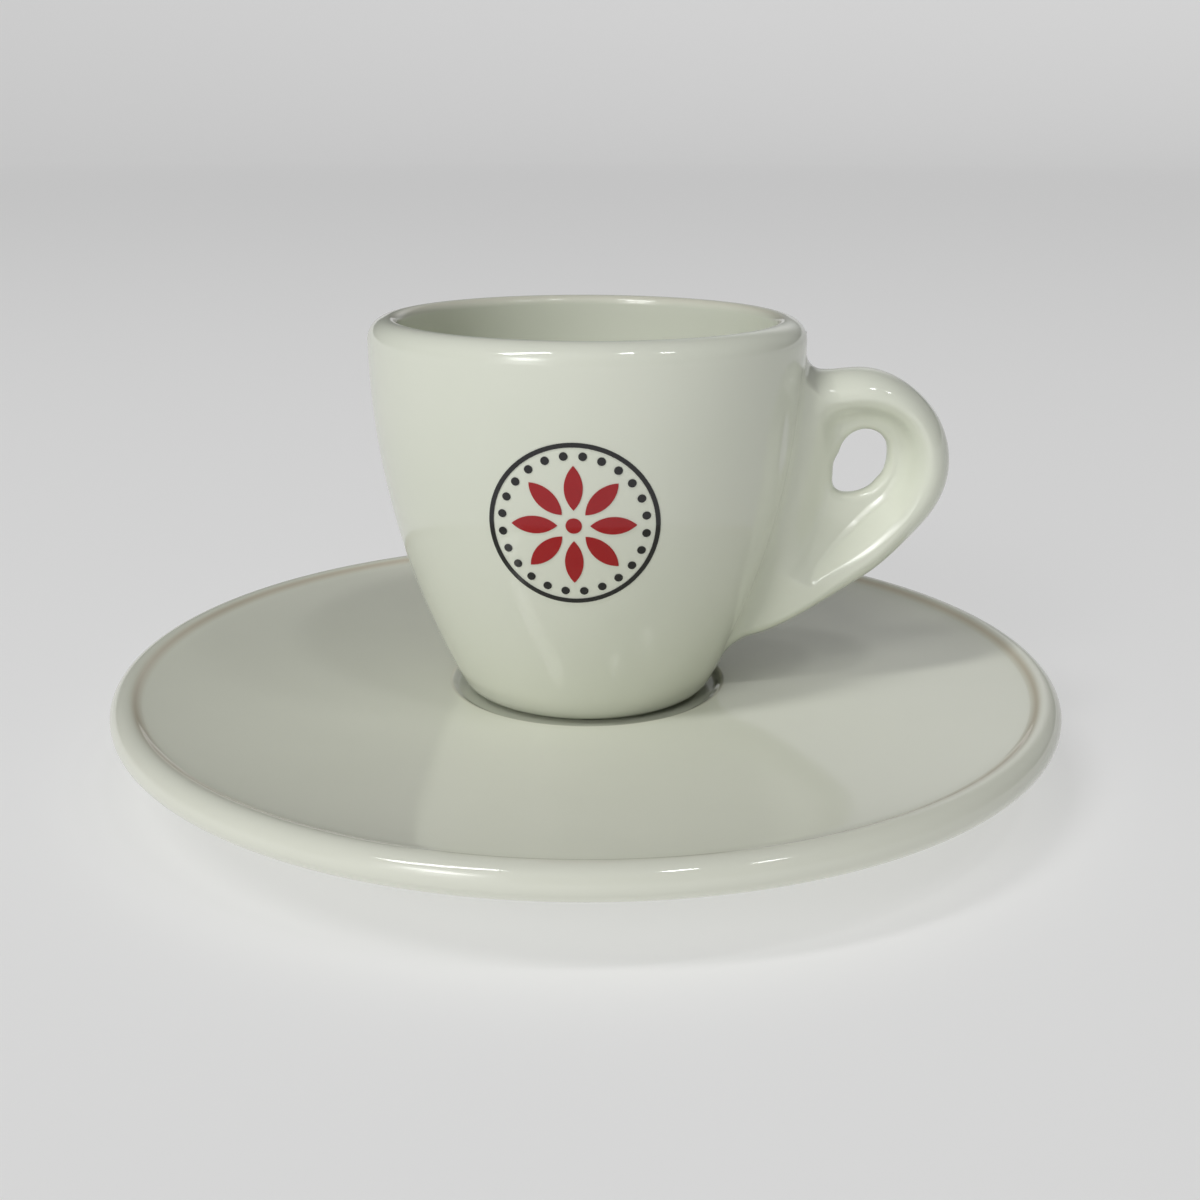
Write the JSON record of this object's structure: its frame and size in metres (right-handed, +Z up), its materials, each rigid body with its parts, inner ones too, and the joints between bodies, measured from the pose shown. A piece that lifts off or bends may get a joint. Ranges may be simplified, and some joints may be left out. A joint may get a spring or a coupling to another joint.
{
  "type": "espresso cup with saucer",
  "caption": "Thick-walled espresso cup with a dished ear handle and a small printed medallion, standing loose in the well of a round saucer with a rolled rim.",
  "frame": {"origin": "centre of the circle that the saucer's foot ring stands on, at table height", "axes": "+Z up, +X towards the handle, -Y towards the side with the printed medallion"},
  "size_m": [0.125, 0.125, 0.0594],
  "materials": {
    "saucer_glaze": "gloss glaze",
    "cup_glaze": "gloss glaze",
    "red_ink": "fired ink under gloss",
    "black_ink": "fired ink under gloss"
  },
  "bodies": {
    "saucer": {"saucer": "saucer_glaze"},
    "cup": {"cup_body": "cup_glaze", "handle": "cup_glaze", "print_red": "red_ink", "print_black": "black_ink"}
  },
  "joints": [
    {"name": "cup_lift", "type": "slide", "parent": "saucer", "child": "cup", "axis": [0, 0, 1], "range_m": [0, 0.08]}
  ]
}
